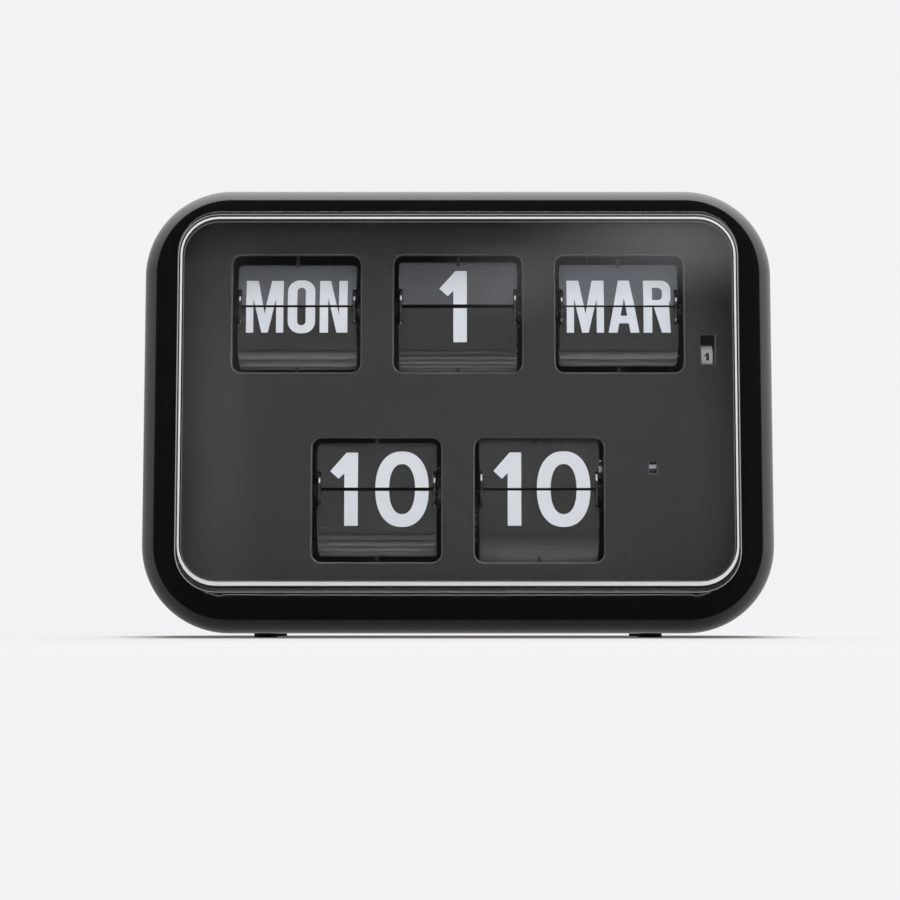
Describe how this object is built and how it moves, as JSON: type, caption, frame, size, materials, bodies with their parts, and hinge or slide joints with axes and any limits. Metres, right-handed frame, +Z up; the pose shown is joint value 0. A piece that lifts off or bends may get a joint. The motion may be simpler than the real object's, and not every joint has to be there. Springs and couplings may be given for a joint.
{
  "type": "desk clock with calendar",
  "caption": "Flip-leaf desk and wall clock with day, date, month, hour and minute windows, rear setting wheels and a battery bay.",
  "frame": {"origin": "on the surface the feet stand on, below the middle of the case in width and depth", "axes": "+X to the right of someone reading the dial, +Y from the dial towards the rear cover, +Z up"},
  "size_m": [0.31, 0.097, 0.221],
  "materials": {
    "case_black": "high gloss",
    "cover_black": "fine satin",
    "lens_clear": "clear polished",
    "seal_foam": "matt foam",
    "dial_grey": "matt painted",
    "foot_rubber": "matt",
    "screw_steel": "zinc plated",
    "frame_steel": "moulded",
    "drum_plastic": "moulded",
    "leaf_dark": "matt sheet",
    "axle_steel": "ground",
    "spring_steel": "spring",
    "gear_plastic": "moulded natural",
    "motor_case": "moulded",
    "indicator_black": "striped",
    "wheel_cream": "satin",
    "knob_black": "knurled",
    "board_green": "coated",
    "crystal_can": "can",
    "wire_skin": "wire insulation",
    "cell_jacket": "wrapped cell"
  },
  "bodies": {
    "clock_case": {"front_case": "case_black", "rear_cover": "cover_black", "lens": "lens_clear", "lens_seal": "seal_foam", "dial_plate": "dial_grey", "rubber_feet": "foot_rubber", "case_screws": "screw_steel", "dial_screws": "screw_steel", "module_screws": "screw_steel", "day_frame": "frame_steel", "date_frame": "frame_steel", "month_frame": "frame_steel", "hour_frame": "frame_steel", "minute_frame": "frame_steel", "day_leaf_pack": "leaf_dark", "date_leaf_pack": "leaf_dark", "month_leaf_pack": "leaf_dark", "hour_leaf_pack": "leaf_dark", "minute_leaf_pack": "leaf_dark", "drum_axles": "axle_steel", "retaining_fingers": "spring_steel", "motor_unit": "motor_case", "leap_year_bracket": "frame_steel", "leap_year_axle": "axle_steel", "rocker_brackets": "frame_steel", "set_wheel_axles": "axle_steel", "control_board": "board_green", "quartz_crystal": "crystal_can", "board_screws": "screw_steel", "wiring": "wire_skin", "battery": "cell_jacket", "battery_spring": "spring_steel", "battery_contact": "spring_steel"},
    "day_drum": {"day_drum": "drum_plastic"},
    "date_drum": {"date_drum": "drum_plastic"},
    "month_drum": {"month_drum": "drum_plastic"},
    "hour_drum": {"hour_drum": "drum_plastic"},
    "minute_drum": {"minute_drum": "drum_plastic"},
    "hour_train_gear": {"hour_train_gear": "gear_plastic"},
    "motor_rotor": {"motor_shaft": "axle_steel", "running_indicator": "indicator_black"},
    "leap_year_wheel": {"leap_year_wheel": "wheel_cream"},
    "calendar_rocker": {"calendar_rocker": "gear_plastic"},
    "month_rocker": {"month_rocker": "gear_plastic"},
    "time_set_wheel": {"time_set_wheel": "knob_black"},
    "day_set_wheel": {"day_set_wheel": "knob_black"},
    "date_set_wheel": {"date_set_wheel": "knob_black"},
    "month_set_wheel": {"month_set_wheel": "knob_black"},
    "day_front_leaf": {"day_front_leaf": "leaf_dark"},
    "date_front_leaf": {"date_front_leaf": "leaf_dark"},
    "month_front_leaf": {"month_front_leaf": "leaf_dark"},
    "hour_front_leaf": {"hour_front_leaf": "leaf_dark"},
    "minute_front_leaf": {"minute_front_leaf": "leaf_dark"},
    "battery_door": {"battery_door": "cover_black"}
  },
  "joints": [
    {"name": "day_drum_turn", "type": "hinge", "parent": "clock_case", "child": "day_drum", "pos_m": [-0.08, -0.0115, 0.164], "axis": [1, 0, 0], "continuous": true, "deforming": ["day_leaf_pack"]},
    {"name": "date_drum_turn", "type": "hinge", "parent": "clock_case", "child": "date_drum", "pos_m": [0, -0.0105, 0.164], "axis": [1, 0, 0], "continuous": true, "deforming": ["date_leaf_pack"]},
    {"name": "month_drum_turn", "type": "hinge", "parent": "clock_case", "child": "month_drum", "pos_m": [0.08, -0.013, 0.164], "axis": [1, 0, 0], "continuous": true, "deforming": ["month_leaf_pack"]},
    {"name": "hour_drum_turn", "type": "hinge", "parent": "clock_case", "child": "hour_drum", "pos_m": [-0.04, -0.01, 0.0728], "axis": [1, 0, 0], "continuous": true, "deforming": ["hour_leaf_pack"]},
    {"name": "minute_drum_turn", "type": "hinge", "parent": "clock_case", "child": "minute_drum", "pos_m": [0.04, -0.0055, 0.0728], "axis": [1, 0, 0], "continuous": true, "deforming": ["minute_leaf_pack"]},
    {"name": "hour_train_turn", "type": "hinge", "parent": "clock_case", "child": "hour_train_gear", "pos_m": [0, -0.00901, 0.05883], "axis": [1, 0, 0], "continuous": true},
    {"name": "motor_shaft_turn", "type": "hinge", "parent": "clock_case", "child": "motor_rotor", "pos_m": [0.09, -0.01465, 0.0834], "axis": [1, 0, 0], "continuous": true},
    {"name": "leap_year_turn", "type": "hinge", "parent": "clock_case", "child": "leap_year_wheel", "pos_m": [0.1236, -0.0147, 0.138], "axis": [1, 0, 0], "continuous": true},
    {"name": "calendar_rocker_swing", "type": "hinge", "parent": "clock_case", "child": "calendar_rocker", "pos_m": [-0.05, -0.0095, 0.11564], "axis": [1, 0, 0], "range_deg": [0, 6]},
    {"name": "month_rocker_swing", "type": "hinge", "parent": "clock_case", "child": "month_rocker", "pos_m": [0.04, -0.0095, 0.11564], "axis": [1, 0, 0], "range_deg": [0, 6]},
    {"name": "time_set_wheel_turn", "type": "hinge", "parent": "clock_case", "child": "time_set_wheel", "pos_m": [0.074, 0.0249, 0.0728], "axis": [1, 0, 0], "continuous": true},
    {"name": "day_set_wheel_turn", "type": "hinge", "parent": "clock_case", "child": "day_set_wheel", "pos_m": [-0.046, 0.0209, 0.164], "axis": [1, 0, 0], "continuous": true},
    {"name": "date_set_wheel_turn", "type": "hinge", "parent": "clock_case", "child": "date_set_wheel", "pos_m": [0.034, 0.0215, 0.164], "axis": [1, 0, 0], "continuous": true},
    {"name": "month_set_wheel_turn", "type": "hinge", "parent": "clock_case", "child": "month_set_wheel", "pos_m": [0.114, 0.0202, 0.164], "axis": [1, 0, 0], "continuous": true},
    {"name": "day_leaf_fall", "type": "hinge", "parent": "clock_case", "child": "day_front_leaf", "pos_m": [-0.08, -0.02222, 0.16645], "axis": [1, 0, 0], "range_deg": [0, 188], "deforming": ["retaining_fingers"]},
    {"name": "date_leaf_fall", "type": "hinge", "parent": "clock_case", "child": "date_front_leaf", "pos_m": [0, -0.02244, 0.16521], "axis": [1, 0, 0], "range_deg": [0, 179], "deforming": ["retaining_fingers"]},
    {"name": "month_leaf_fall", "type": "hinge", "parent": "clock_case", "child": "month_front_leaf", "pos_m": [0.08, -0.02218, 0.16646], "axis": [1, 0, 0], "range_deg": [0, 186], "deforming": ["retaining_fingers"]},
    {"name": "hour_leaf_fall", "type": "hinge", "parent": "clock_case", "child": "hour_front_leaf", "pos_m": [-0.04, -0.02239, 0.07443], "axis": [1, 0, 0], "range_deg": [0, 177], "deforming": ["retaining_fingers"]},
    {"name": "minute_leaf_fall", "type": "hinge", "parent": "clock_case", "child": "minute_front_leaf", "pos_m": [0.04, -0.02248, 0.07369], "axis": [1, 0, 0], "range_deg": [0, 170], "deforming": ["retaining_fingers"]},
    {"name": "battery_door_open", "type": "hinge", "parent": "clock_case", "child": "battery_door", "pos_m": [-0.107, 0.04725, 0.02625], "axis": [1, 0, 0], "range_deg": [-95, 0]}
  ],
  "couplings": [
    {"joint": "hour_drum_turn", "follows": "minute_drum_turn", "ratio": 0.041667},
    {"joint": "hour_train_turn", "follows": "minute_drum_turn", "ratio": -0.25},
    {"joint": "motor_shaft_turn", "follows": "minute_drum_turn", "ratio": -2.5},
    {"joint": "time_set_wheel_turn", "follows": "minute_drum_turn", "ratio": -0.4902},
    {"joint": "day_set_wheel_turn", "follows": "day_drum_turn", "ratio": -0.32787},
    {"joint": "date_set_wheel_turn", "follows": "date_drum_turn", "ratio": -0.33333},
    {"joint": "month_set_wheel_turn", "follows": "month_drum_turn", "ratio": -0.31746}
  ]
}
